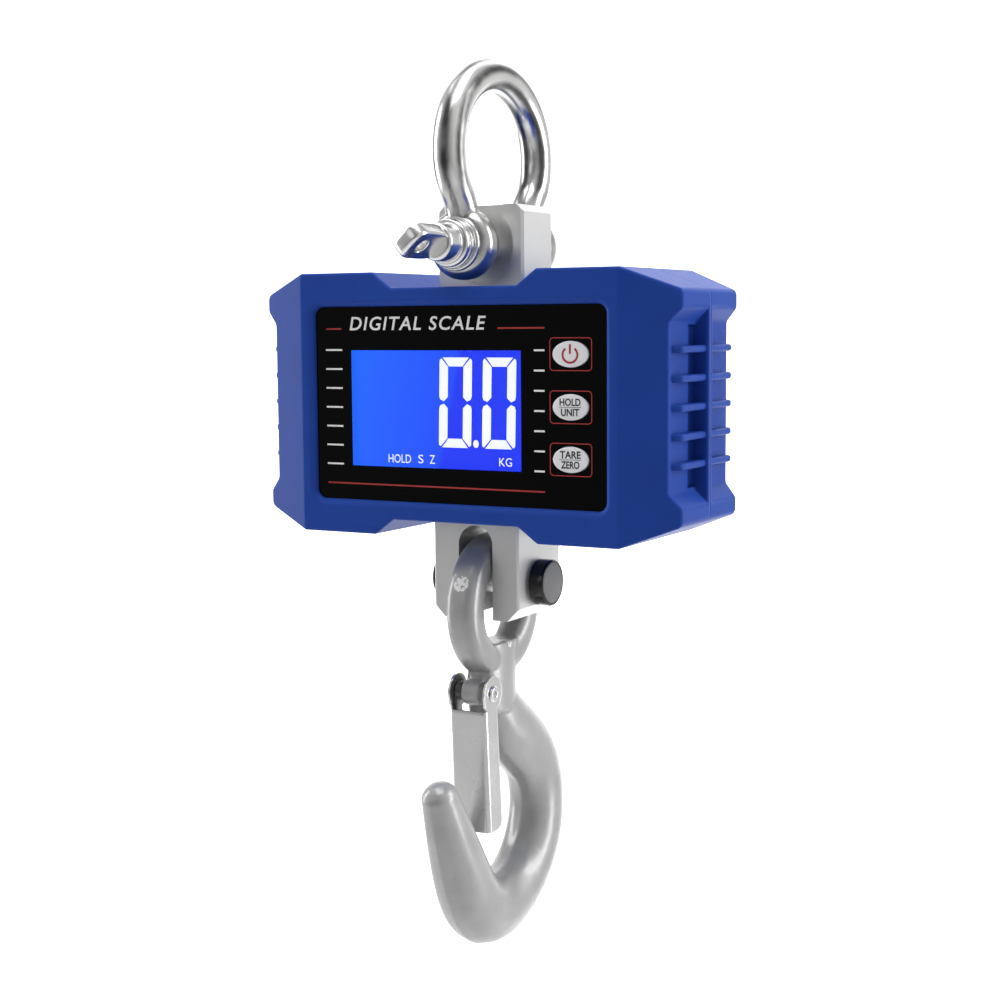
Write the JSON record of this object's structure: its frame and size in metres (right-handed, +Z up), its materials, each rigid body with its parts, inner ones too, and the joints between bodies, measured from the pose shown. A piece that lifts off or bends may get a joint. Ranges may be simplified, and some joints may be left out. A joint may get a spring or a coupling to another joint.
{
  "type": "crane scale",
  "caption": "Hanging crane scale: screw-pin shackle over a load cell, a finned display housing with keys, and a latched eye hook below.",
  "frame": {"origin": "top of the shackle's inner bow, where a crane hook bears", "axes": "+Z up along the load line; the display faces -Y; +X to the right of someone reading the display"},
  "size_m": [0.165, 0.1002, 0.3167],
  "materials": {
    "shell_blue": "satin moulded ABS",
    "panel_black": "smooth gloss film with printed marks",
    "clear_lens": "clear polished acrylic",
    "lcd_cell": "backlit negative display glass",
    "backlight_blue": "lit diffuser",
    "board_green": "solder-masked laminate",
    "switch_black": "moulded nylon",
    "gauge_foil": "foil on film",
    "cover_steel": "plain steel",
    "cell_steel": "satin nickel plate",
    "shackle_steel": "polished stainless",
    "hook_paint": "gloss silver-grey paint over a forging",
    "latch_steel": "bright plated sheet",
    "spring_steel": "dark oiled wire",
    "pin_steel": "ground steel",
    "screw_steel": "plated steel",
    "cap_black": "gloss black",
    "disc_grey": "flat grey",
    "key_grey": "light grey silicone with printed marks",
    "rubber_black": "matt rubber",
    "cable_grey": "jacketed cable",
    "battery_wrap": "plain printed sleeve",
    "contact_nickel": "nickel-plated spring strip"
  },
  "bodies": {
    "shackle": {"shackle_bow": "shackle_steel"},
    "screw_pin": {"shackle_pin": "shackle_steel"},
    "housing": {"load_cell": "cell_steel", "front_shell": "shell_blue", "rear_shell": "shell_blue", "shell_gasket": "rubber_black", "top_seal": "rubber_black", "bottom_seal": "rubber_black", "shell_screws": "screw_steel", "panel_overlay": "panel_black", "lcd_window": "clear_lens", "lcd_glass": "lcd_cell", "lcd_backlight": "backlight_blue", "display_board": "board_green", "board_screws": "screw_steel", "tact_switches": "switch_black", "strain_gauges": "gauge_foil", "gauge_covers": "cover_steel", "gauge_cable": "cable_grey", "cell_brackets": "cover_steel", "bracket_screws": "screw_steel", "battery_tray": "switch_black", "battery_cells": "battery_wrap", "battery_contacts": "contact_nickel", "battery_lead": "cable_grey", "battery_cover": "shell_blue", "cover_gasket": "rubber_black", "cover_screws": "screw_steel", "hook_pin": "pin_steel", "pin_clips": "cover_steel", "pin_caps": "cap_black", "cap_discs": "disc_grey"},
    "hook": {"hook": "hook_paint", "latch_rivet": "latch_steel", "latch_spring": "spring_steel"},
    "latch": {"latch": "latch_steel"},
    "power_key": {"key_power": "key_grey"},
    "hold_key": {"key_hold": "key_grey"},
    "tare_key": {"key_tare": "key_grey"}
  },
  "joints": [
    {"name": "screw_pin_turn", "type": "hinge", "parent": "shackle", "child": "screw_pin", "pos_m": [0, 0, -0.0536], "axis": [0, 1, 0], "continuous": true},
    {"name": "shackle_swing", "type": "hinge", "parent": "shackle", "child": "housing", "pos_m": [0, 0, -0.0536], "axis": [0, 1, 0], "range_deg": [-90, 90]},
    {"name": "hook_swing", "type": "hinge", "parent": "housing", "child": "hook", "pos_m": [0, 0, -0.173], "axis": [1, 0, 0], "range_deg": [-30, 45]},
    {"name": "latch_open", "type": "hinge", "parent": "hook", "child": "latch", "pos_m": [0, -0.0171, -0.2115], "axis": [1, 0, 0], "range_deg": [0, 30], "stiffness_Nm_per_rad": 0.05, "springref_deg": -34.38, "deforming": ["latch_spring"]},
    {"name": "power_key_press", "type": "slide", "parent": "housing", "child": "power_key", "axis": [0, 1, 0], "range_m": [0, 0.0006], "stiffness_N_per_m": 900},
    {"name": "hold_key_press", "type": "slide", "parent": "housing", "child": "hold_key", "axis": [0, 1, 0], "range_m": [0, 0.0006], "stiffness_N_per_m": 900},
    {"name": "tare_key_press", "type": "slide", "parent": "housing", "child": "tare_key", "axis": [0, 1, 0], "range_m": [0, 0.0006], "stiffness_N_per_m": 900}
  ]
}
